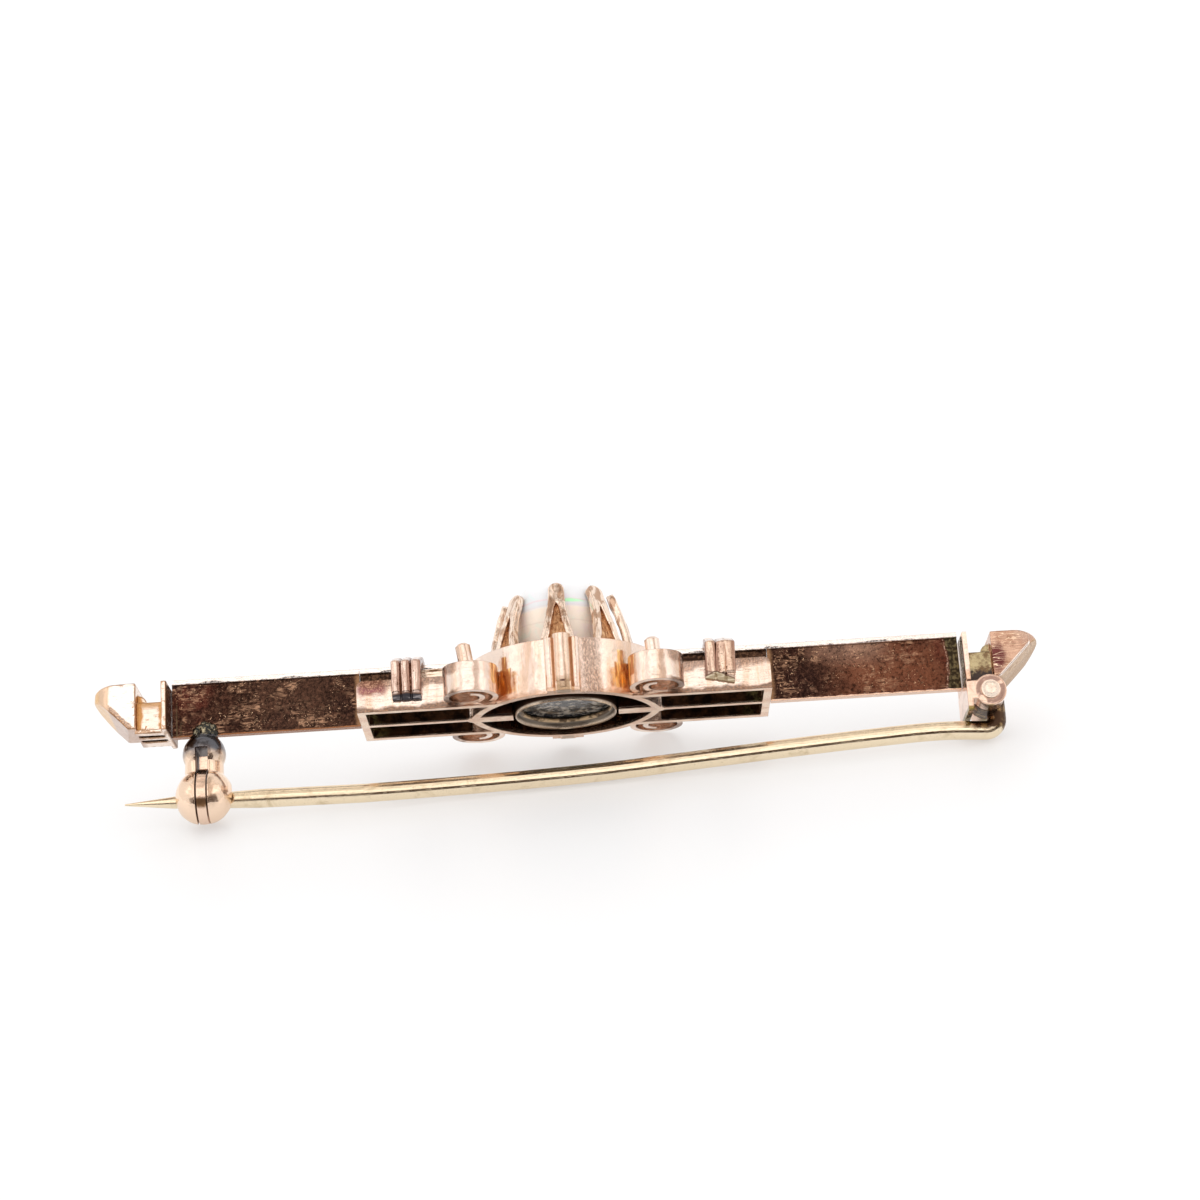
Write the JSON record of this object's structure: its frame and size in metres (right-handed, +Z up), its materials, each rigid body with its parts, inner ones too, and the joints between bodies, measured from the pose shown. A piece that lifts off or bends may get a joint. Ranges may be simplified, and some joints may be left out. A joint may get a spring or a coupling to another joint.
{
  "type": "bar brooch",
  "caption": "Flat gold bar brooch with a pierced gallery, scrolls and a claw-set domed cabochon, with a hinged pin and a ball catch.",
  "frame": {"origin": "on the surface that the brooch lies on, under the middle of its box", "axes": "+X runs from the catch to the hinge along the bar, +Z is up from the surface, and +Y is the way that the front leans; the brooch lies on the ball of its catch, one scroll and the corner of its hinge plate"},
  "size_m": [0.051, 0.0103, 0.0102],
  "materials": {
    "rose_gold": "polished rose gold, worn, with brown tarnish in the recesses",
    "yellow_gold": "polished yellow gold wire",
    "rivet_gold": "pale polished gold",
    "opal": "milky translucent cabochon with a soft play of colour"
  },
  "bodies": {
    "root": {"bar_left": "rose_gold", "bar_right": "rose_gold", "gallery_frame": "rose_gold", "tie_left": "rose_gold", "tie_right": "rose_gold", "claw_setting": "rose_gold", "opal": "opal", "terminal_left": "rose_gold", "terminal_right": "rose_gold", "hinge_bracket": "rose_gold", "hinge_rivet": "rivet_gold", "catch_housing": "rose_gold"},
    "pin": {"pin_stem": "yellow_gold"},
    "sleeve": {"catch_sleeve": "rose_gold"}
  },
  "joints": [
    {"name": "pin_hinge", "type": "hinge", "parent": "root", "child": "pin", "pos_m": [0.02228, -0.00238, 0.00198], "axis": [0, -0.762, 0.6476], "range_deg": [0, 85]},
    {"name": "sleeve_turn", "type": "hinge", "parent": "root", "child": "sleeve", "pos_m": [-0.01991, -0.0025, 0.00122], "axis": [0.9987, -0.0333, -0.0392], "range_deg": [0, 90]}
  ]
}
